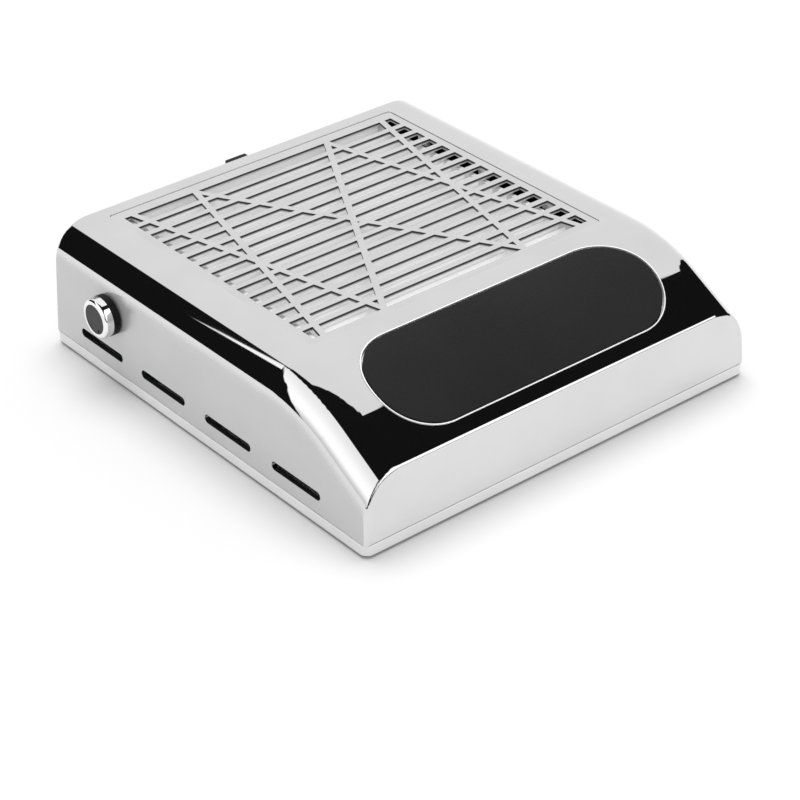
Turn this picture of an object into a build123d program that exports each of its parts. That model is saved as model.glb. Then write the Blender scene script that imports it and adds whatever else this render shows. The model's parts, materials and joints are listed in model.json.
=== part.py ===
from build123d import *
import math
import os

# Desktop nail dust collector: a chrome-plated case on a white tray, a flush slotted grille over a
# pleated filter cartridge that slides out at the back, a centrifugal fan under it and a wrist pad
# on the front slope. Millimetres, +X right, +Y back, +Z up. The origin is on the table, under the
# middle of the case, and the user sits at -Y.

os.makedirs("parts", exist_ok=True)

# Case
case_w = 265.0
case_d = 276.8
top_z = 73.5
seam_z = 7.7
draft = 2.5
wall = 2.8
side_round = 22.0
edge_round = 2.0
slope_start_y = -59.8
slope_bend_r = 100.0
slope_angle = 29.4

# Tray and feet
tray_z = 2.0
rim_z = 1.2
floor_t = 2.5
floor_z = tray_z + floor_t
tray_proud = 0.3
tray_corner = 5.0
shadow_h = 0.5
shadow_depth = 1.0
foot_r = 7.0
foot_recess = 1.5
foot_points = [(x, y) for x in (-108.0, 108.0) for y in (-92.0, 92.0)]
case_screw_points = [(x, y) for x in (-112.0, 112.0) for y in (-118.0, 118.0)]
post_r = 4.5
post_z = 13.8
screw_r = 1.5
pilot_r = 1.55

# Grille
grille_w = 200.0
grille_d = 182.6
grille_t = 2.4
grille_front_y = -57.0
grille_mid_y = grille_front_y + grille_d / 2
grille_gap = 0.15
field_w = 189.4
field_d = 169.5
field_mid_y = grille_front_y + 5.3 + field_d / 2
bar_count = 14
bar_pitch = 11.28
bar_w = 3.9
rib_w = 3.7
rib_outer_x = 88.3
rib_inner_back_x = 46.8
rib_inner_front_x = 48.6
grille_sink = 0.35
ledge_t = 1.8
ledge_w = 4.0

# Wrist pad
pad_w = 190.6
pad_depth = 61.4
pad_corner = 30.0
pad_mid_y = -99.9
pad_mid_z = 61.5
pad_tilt = 22.4
pocket_t = 1.4
bezel_w = 0.8
bezel_proud = 0.4
pad_proud = 1.3
board_t = 0.9
glue_t = 0.06

# Vents, the same row in both side walls
vent_l = 40.0
vent_h = 5.0
vent_z = 18.4
vent_pitch = 58.0
vent_count = 4
vent_mid_y = 4.7

# Filter cartridge
filter_half_w = 91.0
filter_front_y = -54.0
filter_back_y = 136.2
filter_low_z = 49.0
filter_top_z = 69.0
filter_rim = 3.0
end_plate_t = 5.0
slide_gap = 0.6
pleat_count = 30
pleat_top_z = 68.2
pleat_low_z = 50.8
pleat_rise = 3.0
tab_w = 13.5
tab_t = 3.0
tab_end_y = 144.7

# Deck that carries the cartridge
deck_z = 38.0
deck_t = 2.0
deck_half_w = 106.0
deck_front_y = -60.0
deck_back_y = 128.0
deck_points = [(x, y) for x in (-100.0, 100.0) for y in (-48.0, 122.0)]
rail_t = 2.0
rail_top_z = 58.0
rail_ledge = 8.0

# Fan
fan_y = 38.0
fan_r = 75.0
blade_count = 11
backplate_z = 12.0
backplate_t = 2.0
shroud_z = 31.5
shroud_t = 1.8
eye_r = 52.5
inlet_r = 50.5
hub_r = 28.0
cup_r = 26.0
cup_t = 1.5
cup_low_z = 10.6
cup_top_z = 25.5
mount_z = 6.5
mount_t = 2.0
mount_r = 42.0
mount_screw_r = 34.0
bearing_r = 5.0
bearing_h = 4.0
tube_r = 6.0
shaft_r = 2.0
stator_r = 21.3
stator_low_z = 12.0
stator_h = 9.0
tooth_count = 9

# Speed knob
knob_y = 81.8
knob_z = 42.7
knob_back_x = -131.9
knob_skirt_r = 11.7
knob_skirt_l = 4.3
knob_ring_r = 11.4
knob_ring_l = 5.2
knob_face_r = 8.5
marker_angle = 25.6

# Power inlet and control board
jack_x = -84.0
jack_z = 20.0
board_z = 10.0
board_pcb_t = 1.6
board_x0 = -124.0
board_x1 = -86.0
board_y0 = 50.0
board_y1 = 98.0
board_points = [(x, y) for x in (-120.0, -90.0) for y in (54.0, 94.0)]

draft_tan = math.tan(math.radians(draft))
slope_rad = math.radians(slope_angle)
board_top_z = board_z + board_pcb_t
filter_mid_y = (filter_front_y + filter_back_y) / 2


def wall_x(z):
    # Outer face of the side wall at height z
    return case_w / 2 - (z - seam_z) * draft_tan


def wall_y(z):
    # Outer face of the back wall at height z
    return case_d / 2 - (z - seam_z) * draft_tan


def profile_block(inset):
    # The side profile, moved inwards by inset, across the whole width of the case
    bend_r = slope_bend_r - inset
    bend_y = slope_start_y - bend_r * math.sin(slope_rad)
    bend_z = top_z - slope_bend_r + bend_r * math.cos(slope_rad)
    low_y = -case_d / 2 - 12
    low_z = bend_z - (bend_y - low_y) * math.tan(slope_rad)
    mid_y = slope_start_y - bend_r * math.sin(slope_rad / 2)
    mid_z = top_z - slope_bend_r + bend_r * math.cos(slope_rad / 2)
    flat_z = top_z - inset
    with BuildPart() as block:
        with BuildSketch(Plane.YZ):
            with BuildLine():
                Polyline((slope_start_y, flat_z), (case_d, flat_z), (case_d, -20), (low_y, -20))
                Polyline((low_y, -20), (low_y, low_z), (bend_y, bend_z))
                ThreePointArc((bend_y, bend_z), (mid_y, mid_z), (slope_start_y, flat_z))
            make_face()
        extrude(amount=case_w, both=True)
    return block.part


def case_form(inset, low_z, corner):
    # The case's solid form, moved inwards by inset, from low_z up
    side = profile_block(inset)
    grow = 2 * (seam_z - low_z) * draft_tan - 2 * inset / math.cos(math.radians(draft))
    with BuildPart() as form:
        with BuildSketch(Plane.XY.offset(low_z)):
            Rectangle(case_w + grow, case_d + grow)
        extrude(amount=top_z + 5 - low_z, taper=draft)
        add(side, mode=Mode.INTERSECT)
        for wall_face in (form.faces().sort_by(Axis.X)[0], form.faces().sort_by(Axis.X)[-1]):
            upper = wall_face.edges().filter_by(lambda edge: edge.center().Z > 46)
            fillet(upper, radius=side_round - inset)
        for end_face in (form.faces().sort_by(Axis.Y)[0], form.faces().sort_by(Axis.Y)[-1]):
            rim = end_face.edges().filter_by(lambda edge: edge.center().Z > low_z + 1)
            fillet(rim, radius=corner)
    return form.part


# The wrist pad's outline, seen square to the slope
pad_rad = math.radians(pad_tilt)
pad_normal = (0, -math.sin(pad_rad), math.cos(pad_rad))
pad_plane = Plane(origin=(0, pad_mid_y, pad_mid_z), x_dir=(1, 0, 0), z_dir=pad_normal)


def pad_prism(grow):
    # A prism on the pad's outline, made larger all round by grow
    with BuildPart() as prism:
        with BuildSketch(pad_plane):
            RectangleRounded(pad_w + 2 * grow, pad_depth + 2 * grow, pad_corner + grow)
        extrude(amount=20, both=True)
    return prism.part


outer_form = case_form(0, seam_z, edge_round)
cavity_form = case_form(wall, seam_z - 2, 0.8)
post_form = case_form(wall / 2, seam_z, 1.5)
pad_skin_form = profile_block(-pad_proud)
pad_board_top_form = profile_block(pocket_t - board_t)
pad_low_form = profile_block(pocket_t - board_t - glue_t)
pocket_form = profile_block(pocket_t)
glue_form = profile_block(pocket_t - glue_t)
bezel_top_form = profile_block(-bezel_proud)
pad_outline = pad_prism(0)
pad_board_outline = pad_prism(-1)
bezel_outline = pad_prism(bezel_w)
bezel_hole = pad_prism(0.25)
pocket_outline = pad_prism(bezel_w + 0.1)


# --- Case -------------------------------------------------------------------------------------

# Posts that hang from the top of the shell and take the case screws
with BuildPart() as posts:
    with BuildSketch(Plane.XY.offset(post_z)):
        with Locations(*case_screw_points):
            Circle(post_r)
    extrude(amount=top_z)
    add(post_form, mode=Mode.INTERSECT)

# Frame under the top that the grille drops into
with BuildPart() as grille_seat:
    with BuildSketch(Plane.XY.offset(top_z - grille_t - ledge_t)):
        with Locations((0, grille_mid_y)):
            Rectangle(grille_w + 2 * ledge_w, grille_d + 2 * ledge_w)
    extrude(amount=grille_t + ledge_t - 0.5)

with BuildPart() as pad_pocket:
    add(pocket_outline)
    add(pocket_form, mode=Mode.SUBTRACT)

with BuildPart() as top_shell:
    add(outer_form)
    add(cavity_form, mode=Mode.SUBTRACT)
    add(grille_seat.part)
    add(posts.part)
    # Shadow line round the foot of the shell
    with BuildSketch(Plane.XY.offset(seam_z)):
        Rectangle(case_w + 2, case_d + 2)
        Rectangle(case_w - 2 * shadow_depth, case_d - 2 * shadow_depth, mode=Mode.SUBTRACT)
    extrude(amount=shadow_h, mode=Mode.SUBTRACT)
    # Well for the grille and the open window under it
    with BuildSketch(Plane.XY.offset(top_z - grille_t)):
        with Locations((0, grille_mid_y)):
            RectangleRounded(grille_w, grille_d, 2.3)
    extrude(amount=grille_t + 1, mode=Mode.SUBTRACT)
    with BuildSketch(Plane.XY.offset(top_z - grille_t - ledge_t - 1)):
        with Locations((0, grille_mid_y)):
            RectangleRounded(grille_w - 2 * ledge_w, grille_d - 2 * ledge_w, 3)
    extrude(amount=grille_t + ledge_t + 2, mode=Mode.SUBTRACT)
    # Pocket for the wrist pad and its trim ring
    add(pad_pocket.part, mode=Mode.SUBTRACT)
    # Slot in the back wall for the filter cartridge
    with BuildSketch(Plane.XZ.offset(-(filter_back_y - 10))):
        with Locations((0, (filter_low_z + filter_top_z) / 2)):
            Rectangle(2 * (filter_half_w + slide_gap), filter_top_z - filter_low_z + 2 * slide_gap)
    extrude(amount=-20, mode=Mode.SUBTRACT)
    # Exhaust vents in both side walls
    for side_x in (-case_w / 2 - 2, case_w / 2 - 6):
        with BuildSketch(Plane.YZ.offset(side_x)):
            with Locations((vent_mid_y, vent_z)):
                with GridLocations(vent_pitch, 0, vent_count, 1):
                    SlotOverall(vent_l, vent_h)
        extrude(amount=8, mode=Mode.SUBTRACT)
    # Hole for the speed control's bushing
    with BuildSketch(Plane.YZ.offset(-case_w / 2 - 2)):
        with Locations((knob_y, knob_z)):
            Circle(3.7)
    extrude(amount=8, mode=Mode.SUBTRACT)
    # Hole for the power inlet
    with BuildSketch(Plane.XZ.offset(-case_d / 2 + 6)):
        with Locations((jack_x, jack_z)):
            Circle(5.6)
    extrude(amount=-8, mode=Mode.SUBTRACT)
    # Pilot holes for the case screws
    with BuildSketch(Plane.XY.offset(post_z)):
        with Locations(*case_screw_points):
            Circle(pilot_r)
    extrude(amount=12, mode=Mode.SUBTRACT)
top_shell.part.label = "top_shell"
export_step(top_shell.part, "parts/top_shell.step")

# Tray that closes the case from below; the shell stands on its rim
lip_w = case_w - 2 * wall - 1.2
lip_d = case_d - 2 * wall - 1.2
with BuildPart() as base_tray:
    with BuildSketch(Plane.XY.offset(rim_z)):
        RectangleRounded(case_w + 2 * tray_proud, case_d + 2 * tray_proud, tray_corner)
    extrude(amount=seam_z - rim_z)
    fillet(base_tray.faces().sort_by(Axis.Z)[0].edges(), radius=1.2)
    fillet(base_tray.faces().sort_by(Axis.Z)[-1].edges(), radius=0.3)
    # The rim reaches lower than the floor
    with BuildSketch(Plane.XY.offset(rim_z)):
        RectangleRounded(case_w - 8, case_d - 8, 3)
    extrude(amount=tray_z - rim_z, mode=Mode.SUBTRACT)
    with BuildSketch(Plane.XY.offset(floor_z)):
        RectangleRounded(case_w - 9, case_d - 9, 2)
    extrude(amount=seam_z, mode=Mode.SUBTRACT)
    # Upstand that locates the shell
    with BuildSketch(Plane.XY.offset(floor_z - 0.5)):
        RectangleRounded(lip_w, lip_d, 1)
        RectangleRounded(lip_w - 3.6, lip_d - 3.6, 1, mode=Mode.SUBTRACT)
    extrude(amount=7)
    # Stiffening ribs across the front of the floor
    with BuildSketch(Plane.XY.offset(floor_z - 0.5)):
        with Locations((0, -110), (0, -84)):
            Rectangle(190, 1.6)
        with Locations((-95, -97), (0, -97), (95, -97)):
            Rectangle(1.6, 26)
    extrude(amount=4.5)
    # Bosses for the case screws
    with BuildSketch(Plane.XY.offset(floor_z - 0.5)):
        with Locations(*case_screw_points):
            Circle(5.5)
    extrude(amount=post_z - 0.2 - floor_z + 0.5)
    with Locations(*[(x, y, tray_z) for x, y in case_screw_points]):
        Cylinder(1.7, 30, mode=Mode.SUBTRACT)
        Cylinder(3.3, 6, align=(Align.CENTER, Align.CENTER, Align.MIN), mode=Mode.SUBTRACT)
    # Columns that carry the filter deck
    with BuildSketch(Plane.XY.offset(floor_z - 0.5)):
        with Locations(*deck_points):
            Circle(4)
    extrude(amount=deck_z - floor_z + 0.5)
    with BuildSketch(Plane.XY.offset(deck_z - 12)):
        with Locations(*deck_points):
            Circle(pilot_r)
    extrude(amount=12, mode=Mode.SUBTRACT)
    # Bosses under the fan's mounting plate
    with BuildSketch(Plane.XY.offset(floor_z - 0.5)):
        with Locations((0, fan_y)):
            with PolarLocations(mount_screw_r, 4, start_angle=45):
                Circle(3.5)
    extrude(amount=mount_z - floor_z + 0.5)
    with BuildSketch(Plane.XY.offset(tray_z + 0.8)):
        with Locations((0, fan_y)):
            with PolarLocations(mount_screw_r, 4, start_angle=45):
                Circle(pilot_r)
    extrude(amount=mount_z, mode=Mode.SUBTRACT)
    # Standoffs for the control board
    with BuildSketch(Plane.XY.offset(floor_z - 0.5)):
        with Locations(*board_points):
            Circle(2.8)
    extrude(amount=board_z - floor_z + 0.5)
    with BuildSketch(Plane.XY.offset(floor_z)):
        with Locations(*board_points):
            Circle(1.05)
    extrude(amount=board_z, mode=Mode.SUBTRACT)
    # Recesses for the feet
    with BuildSketch(Plane.XY.offset(tray_z)):
        with Locations(*foot_points):
            Circle(foot_r + 0.2)
    extrude(amount=foot_recess, mode=Mode.SUBTRACT)
base_tray.part.label = "base_tray"
export_step(base_tray.part, "parts/base_tray.step")

with BuildPart() as rubber_feet:
    with Locations(*[(x, y, 0) for x, y in foot_points]):
        Cylinder(foot_r, tray_z + foot_recess, align=(Align.CENTER, Align.CENTER, Align.MIN))
    chamfer(rubber_feet.edges().group_by(Axis.Z)[0], length=0.6)
rubber_feet.part.label = "rubber_feet"
export_step(rubber_feet.part, "parts/rubber_feet.step")

# Pan-head screws that hold the tray to the shell, driven from below
with BuildPart() as case_screws:
    with Locations(*[(x, y, tray_z + 6) for x, y in case_screw_points]):
        Cylinder(screw_r, 16, align=(Align.CENTER, Align.CENTER, Align.MIN))
        Cylinder(2.9, 2.2, align=(Align.CENTER, Align.CENTER, Align.MAX))
    with Locations(*[(x, y, tray_z + 3.8) for x, y in case_screw_points]):
        Box(3.2, 0.8, 2.2, mode=Mode.SUBTRACT)
        Box(0.8, 3.2, 2.2, mode=Mode.SUBTRACT)
case_screws.part.label = "case_screws"
export_step(case_screws.part, "parts/case_screws.step")

# Slotted grille with three crossed pairs of diagonal ribs; it snaps into the top
field_front_y = field_mid_y - field_d / 2
field_back_y = field_mid_y + field_d / 2
rib_lines = [((-rib_outer_x, field_back_y), (-rib_inner_front_x, field_front_y))]
rib_lines += [((-rib_inner_back_x, field_back_y), (-rib_outer_x, field_front_y))]
rib_lines += [((-rib_inner_back_x, field_back_y), (rib_inner_front_x, field_front_y))]
rib_lines += [((-x0, y0), (-x1, y1)) for (x0, y0), (x1, y1) in rib_lines]
hook_x = grille_w / 2 - ledge_w - 0.9
hook_z = top_z - grille_t - ledge_t - 0.4
hook_l = 8.0
hook_ys = (-20.0, grille_mid_y, 88.0)
with BuildPart() as grille_panel:
    with BuildSketch(Plane.XY.offset(top_z - grille_t)):
        with Locations((0, grille_mid_y)):
            RectangleRounded(grille_w - 2 * grille_gap, grille_d - 2 * grille_gap, 2)
    extrude(amount=grille_t - grille_sink)
    fillet(grille_panel.faces().sort_by(Axis.Z)[-1].edges(), radius=0.2)
    with BuildSketch(Plane.XY.offset(top_z - grille_t)):
        with Locations((0, field_mid_y)):
            Rectangle(field_w, field_d)
            with GridLocations(0, bar_pitch, 1, bar_count):
                Rectangle(field_w, bar_w, mode=Mode.SUBTRACT)
        for (x0, y0), (x1, y1) in rib_lines:
            rib_length = math.hypot(x1 - x0, y1 - y0) + 20
            rib_angle = math.degrees(math.atan2(y1 - y0, x1 - x0))
            with Locations(Location(((x0 + x1) / 2, (y0 + y1) / 2, 0), (0, 0, rib_angle))):
                Rectangle(rib_length, rib_w, mode=Mode.SUBTRACT)
    extrude(amount=grille_t, mode=Mode.SUBTRACT)
    # Snap hooks along both sides, reaching under the ledge
    for side in (-1, 1):
        with Locations(*[(side * hook_x, y, top_z - grille_t) for y in hook_ys]):
            Box(1.2, hook_l, ledge_t + 2.2, align=(Align.CENTER, Align.CENTER, Align.MAX))
        with Locations(*[(side * (hook_x + 0.5), y, hook_z) for y in hook_ys]):
            Box(2.2, hook_l, 1.4, align=(Align.CENTER, Align.CENTER, Align.MAX))
grille_panel.part.label = "grille_panel"
export_step(grille_panel.part, "parts/grille_panel.step")

# Bright trim ring round the wrist pad
with BuildPart() as pad_bezel:
    add(bezel_outline)
    add(bezel_hole, mode=Mode.SUBTRACT)
    add(bezel_top_form, mode=Mode.INTERSECT)
    add(glue_form, mode=Mode.SUBTRACT)
pad_bezel.part.label = "pad_bezel"
export_step(pad_bezel.part, "parts/pad_bezel.step")

# Stiff board glued into the pocket, and the soft pad on it
with BuildPart() as pad_board:
    add(pad_board_outline)
    add(pad_board_top_form, mode=Mode.INTERSECT)
    add(glue_form, mode=Mode.SUBTRACT)
pad_board.part.label = "pad_board"
export_step(pad_board.part, "parts/pad_board.step")

with BuildPart() as wrist_pad:
    add(pad_outline)
    add(pad_skin_form, mode=Mode.INTERSECT)
    add(pad_low_form, mode=Mode.SUBTRACT)
wrist_pad.part.label = "wrist_pad"
export_step(wrist_pad.part, "parts/wrist_pad.step")


# --- Filter cartridge -------------------------------------------------------------------------

filter_l = filter_back_y - filter_front_y
inner_half_w = filter_half_w - filter_rim
pleat_front_y = filter_front_y + filter_rim
pleat_back_y = filter_back_y - end_plate_t
tab_z = filter_top_z + 0.4
with BuildPart() as filter_frame:
    with BuildSketch(Plane.XY.offset(filter_low_z)):
        with Locations((0, filter_mid_y)):
            Rectangle(2 * filter_half_w, filter_l)
    extrude(amount=filter_top_z - filter_low_z)
    fillet(filter_frame.edges().filter_by(Axis.Z).sort_by(Axis.Y)[:2], radius=2)
    with BuildSketch(Plane.XY.offset(filter_low_z + 1.4)):
        with Locations((0, (pleat_front_y + pleat_back_y) / 2)):
            Rectangle(2 * inner_half_w, pleat_back_y - pleat_front_y)
    extrude(amount=filter_top_z, mode=Mode.SUBTRACT)
    # Open underside with cross bars that hold the pleats up
    with BuildSketch(Plane.XY.offset(filter_low_z - 1)):
        with Locations((0, (pleat_front_y + pleat_back_y) / 2)):
            Rectangle(2 * inner_half_w - 6, pleat_back_y - pleat_front_y - 6)
            with Locations((-44, 0), (0, 0), (44, 0)):
                Rectangle(2.4, filter_l, mode=Mode.SUBTRACT)
    extrude(amount=4, mode=Mode.SUBTRACT)
    # Seat for the pull tab in the end plate
    with BuildSketch(Plane.XZ.offset(-filter_back_y)):
        with Locations((0, filter_top_z)):
            Rectangle(tab_w + 0.2, 2 * tab_t + 0.2)
    extrude(amount=4, mode=Mode.SUBTRACT)
filter_frame.part.label = "filter_frame"
export_step(filter_frame.part, "parts/filter_frame.step")

# Pleated paper, its folds running from side to side
pleat_pitch = (pleat_back_y - pleat_front_y - 0.4) / pleat_count
pleat_start_y = pleat_front_y + 0.2
upper_points = [(pleat_start_y, pleat_low_z + pleat_rise)]
for fold in range(pleat_count):
    crest_y = pleat_start_y + (fold + 0.5) * pleat_pitch
    upper_points += [(crest_y, pleat_top_z), (crest_y + pleat_pitch / 2, pleat_low_z + pleat_rise)]
lower_points = [(y, z - pleat_rise) for y, z in reversed(upper_points)]
with BuildPart() as filter_pleats:
    with BuildSketch(Plane.YZ):
        with BuildLine():
            Polyline(*upper_points, *lower_points, close=True)
        make_face()
    extrude(amount=inner_half_w - 0.2, both=True)
filter_pleats.part.label = "filter_pleats"
export_step(filter_pleats.part, "parts/filter_pleats.step")

# Black finger tab that stands out behind the case
with BuildPart() as filter_pull_tab:
    with BuildSketch(Plane.XY.offset(tab_z - tab_t)):
        with Locations((0, (filter_back_y - 3.8 + tab_end_y) / 2)):
            Rectangle(tab_w, tab_end_y - filter_back_y + 3.8)
    extrude(amount=tab_t)
    with Locations((0, tab_end_y, tab_z)):
        Box(tab_w, 2, 8, align=(Align.CENTER, Align.MAX, Align.MAX))
    fillet(filter_pull_tab.edges().filter_by(Axis.X).sort_by(Axis.Y)[-2:], radius=0.8)
filter_pull_tab.part.label = "filter_pull_tab"
export_step(filter_pull_tab.part, "parts/filter_pull_tab.step")


# --- Filter deck ------------------------------------------------------------------------------

rail_x = filter_half_w + 0.9 + rail_t / 2
rail_low_z = filter_low_z - 0.4
deck_l = deck_back_y - deck_front_y
deck_mid_y = (deck_front_y + deck_back_y) / 2
with BuildPart() as filter_deck:
    with BuildSketch(Plane.XY.offset(deck_z)):
        with Locations((0, deck_mid_y)):
            RectangleRounded(2 * deck_half_w, deck_l, 4)
        with Locations((0, fan_y)):
            Circle(inlet_r - 1.6, mode=Mode.SUBTRACT)
        with Locations(*deck_points):
            Circle(1.7, mode=Mode.SUBTRACT)
    extrude(amount=deck_t)
    # Inlet ring that reaches into the fan's eye
    with BuildSketch(Plane.XY.offset(shroud_z + 2)):
        with Locations((0, fan_y)):
            Circle(inlet_r)
            Circle(inlet_r - 1.6, mode=Mode.SUBTRACT)
    extrude(amount=deck_z + deck_t - shroud_z - 2)
    # Side rails with ledges, and the stop at the front
    for side in (-1, 1):
        with Locations((side * rail_x, deck_mid_y, deck_z)):
            Box(rail_t, deck_l, rail_top_z - deck_z, align=(Align.CENTER, Align.CENTER, Align.MIN))
        with Locations((side * (rail_x - rail_ledge / 2), deck_mid_y, rail_low_z)):
            Box(rail_ledge, deck_l, 2, align=(Align.CENTER, Align.CENTER, Align.MAX))
    with Locations((0, deck_front_y, deck_z)):
        Box(2 * rail_x, rail_t, rail_top_z - deck_z, align=(Align.CENTER, Align.MIN, Align.MIN))
    # Sill under the cartridge at the back
    with Locations((0, deck_back_y, deck_z)):
        Box(2 * rail_x, rail_t, rail_low_z - deck_z, align=(Align.CENTER, Align.MAX, Align.MIN))
filter_deck.part.label = "filter_deck"
export_step(filter_deck.part, "parts/filter_deck.step")

with BuildPart() as deck_screws:
    with Locations(*[(x, y, deck_z + deck_t) for x, y in deck_points]):
        Cylinder(screw_r, 10, align=(Align.CENTER, Align.CENTER, Align.MAX))
        Cylinder(2.9, 2.2, align=(Align.CENTER, Align.CENTER, Align.MIN))
    with Locations(*[(x, y, deck_z + deck_t + 2.2) for x, y in deck_points]):
        Box(3.2, 0.8, 2.2, mode=Mode.SUBTRACT)
        Box(0.8, 3.2, 2.2, mode=Mode.SUBTRACT)
deck_screws.part.label = "deck_screws"
export_step(deck_screws.part, "parts/deck_screws.step")


# --- Fan --------------------------------------------------------------------------------------

# Backward-curved blades between a back plate and a shroud ring
with BuildSketch(Plane.XY.offset(backplate_z)) as blade:
    with BuildLine():
        ThreePointArc((34, 0), (53, 9.5), (67.5, 28.5))
        Line((67.5, 28.5), (66.3, 29.7))
        ThreePointArc((66.3, 29.7), (52, 11.1), (33.4, 1.6))
        Line((33.4, 1.6), (34, 0))
    make_face()
with BuildPart() as impeller:
    with BuildSketch(Plane.XY.offset(backplate_z)):
        with Locations((0, fan_y)):
            Circle(fan_r)
    extrude(amount=backplate_t)
    with BuildSketch(Plane.XY.offset(backplate_z)):
        with Locations((0, fan_y)):
            Circle(hub_r)
    extrude(amount=cup_top_z + 1.8 - backplate_z)
    with BuildSketch(Plane.XY.offset(backplate_z + 1)):
        with Locations((0, fan_y)):
            with PolarLocations(0, blade_count):
                add(blade.sketch.moved(Location((0, 0, -backplate_z))))
    extrude(amount=shroud_z - backplate_z)
    with BuildSketch(Plane.XY.offset(shroud_z)):
        with Locations((0, fan_y)):
            Circle(fan_r)
            Circle(eye_r, mode=Mode.SUBTRACT)
    extrude(amount=shroud_t)
    with BuildSketch(Plane.XY.offset(shroud_z)):
        with Locations((0, fan_y)):
            Circle(eye_r + 1.8)
            Circle(eye_r, mode=Mode.SUBTRACT)
    extrude(amount=5)
    with BuildSketch(Plane.XY.offset(backplate_z - 1)):
        with Locations((0, fan_y)):
            Circle(cup_r + 0.1)
    extrude(amount=cup_top_z - backplate_z + 1.05, mode=Mode.SUBTRACT)
    with BuildSketch(Plane.XY.offset(cup_top_z)):
        with Locations((0, fan_y)):
            Circle(shaft_r + 0.05)
    extrude(amount=5, mode=Mode.SUBTRACT)
    collar_rim = impeller.edges().filter_by(GeomType.CIRCLE).group_by(Axis.Z)[-1].sort_by(SortBy.RADIUS)[-1]
    fillet(collar_rim, radius=0.6)
impeller.part.label = "impeller"
export_step(impeller.part, "parts/impeller.step")

# Steel rotor cup with the shaft's boss
with BuildPart() as rotor_cup:
    with BuildSketch(Plane.XY.offset(cup_low_z)):
        with Locations((0, fan_y)):
            Circle(cup_r)
    extrude(amount=cup_top_z - cup_low_z)
    with BuildSketch(Plane.XY.offset(cup_low_z)):
        with Locations((0, fan_y)):
            Circle(cup_r - cup_t)
    extrude(amount=cup_top_z - cup_low_z - cup_t, mode=Mode.SUBTRACT)
    with BuildSketch(Plane.XY.offset(cup_top_z - cup_t - 1.2)):
        with Locations((0, fan_y)):
            Circle(5)
    extrude(amount=2)
    with BuildSketch(Plane.XY.offset(cup_low_z)):
        with Locations((0, fan_y)):
            Circle(shaft_r + 0.01)
    extrude(amount=20, mode=Mode.SUBTRACT)
rotor_cup.part.label = "rotor_cup"
export_step(rotor_cup.part, "parts/rotor_cup.step")

with BuildPart() as magnet_ring:
    with BuildSketch(Plane.XY.offset(cup_low_z + 1)):
        with Locations((0, fan_y)):
            Circle(cup_r - cup_t - 0.05)
            Circle(cup_r - cup_t - 2.4, mode=Mode.SUBTRACT)
    extrude(amount=12)
magnet_ring.part.label = "magnet_ring"
export_step(magnet_ring.part, "parts/magnet_ring.step")

with BuildPart() as motor_shaft:
    with BuildSketch(Plane.XY.offset(6.0)):
        with Locations((0, fan_y)):
            Circle(shaft_r)
    extrude(amount=cup_top_z + 1.2 - 6.0)
    # Groove for the retaining clip
    with BuildSketch(Plane.XY.offset(7.4)):
        with Locations((0, fan_y)):
            Circle(shaft_r)
            Circle(shaft_r - 0.4, mode=Mode.SUBTRACT)
    extrude(amount=0.8, mode=Mode.SUBTRACT)
    chamfer(motor_shaft.edges().group_by(Axis.Z)[0], length=0.4)
motor_shaft.part.label = "motor_shaft"
export_step(motor_shaft.part, "parts/motor_shaft.step")

with BuildPart() as shaft_clip:
    with BuildSketch(Plane.XY.offset(7.5)):
        with Locations((0, fan_y)):
            Circle(2.5)
            Circle(shaft_r - 0.35, mode=Mode.SUBTRACT)
        with Locations((0, fan_y - 2)):
            Rectangle(1.6, 3, mode=Mode.SUBTRACT)
    extrude(amount=0.6)
shaft_clip.part.label = "shaft_clip"
export_step(shaft_clip.part, "parts/shaft_clip.step")

# Plate and bearing tube that carry the motor
mount_top_z = mount_z + mount_t
bore_low_z = mount_top_z + 0.9
tube_top_z = stator_low_z + stator_h + 1.4
with BuildPart() as motor_mount:
    with BuildSketch(Plane.XY.offset(mount_z)):
        with Locations((0, fan_y)):
            Circle(mount_r)
            with PolarLocations(mount_screw_r, 4, start_angle=45):
                Circle(1.7, mode=Mode.SUBTRACT)
    extrude(amount=mount_t)
    with BuildSketch(Plane.XY.offset(mount_z)):
        with Locations((0, fan_y)):
            Circle(tube_r)
    extrude(amount=tube_top_z - mount_z)
    with BuildSketch(Plane.XY.offset(bore_low_z)):
        with Locations((0, fan_y)):
            Circle(bearing_r + 0.02)
    extrude(amount=tube_top_z, mode=Mode.SUBTRACT)
    with BuildSketch(Plane.XY.offset(mount_z - 1)):
        with Locations((0, fan_y)):
            Circle(2.9)
    extrude(amount=tube_top_z, mode=Mode.SUBTRACT)
motor_mount.part.label = "motor_mount"
export_step(motor_mount.part, "parts/motor_mount.step")

with BuildPart() as lower_bearing:
    with BuildSketch(Plane.XY.offset(bore_low_z + 0.05)):
        with Locations((0, fan_y)):
            Circle(bearing_r)
            Circle(shaft_r + 0.03, mode=Mode.SUBTRACT)
    extrude(amount=bearing_h)
    with BuildSketch(Plane.XY.offset(bore_low_z + bearing_h - 0.2)):
        with Locations((0, fan_y)):
            Circle(bearing_r - 0.9)
            Circle(shaft_r + 0.9, mode=Mode.SUBTRACT)
    extrude(amount=1, mode=Mode.SUBTRACT)
lower_bearing.part.label = "lower_bearing"
export_step(lower_bearing.part, "parts/lower_bearing.step")

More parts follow.
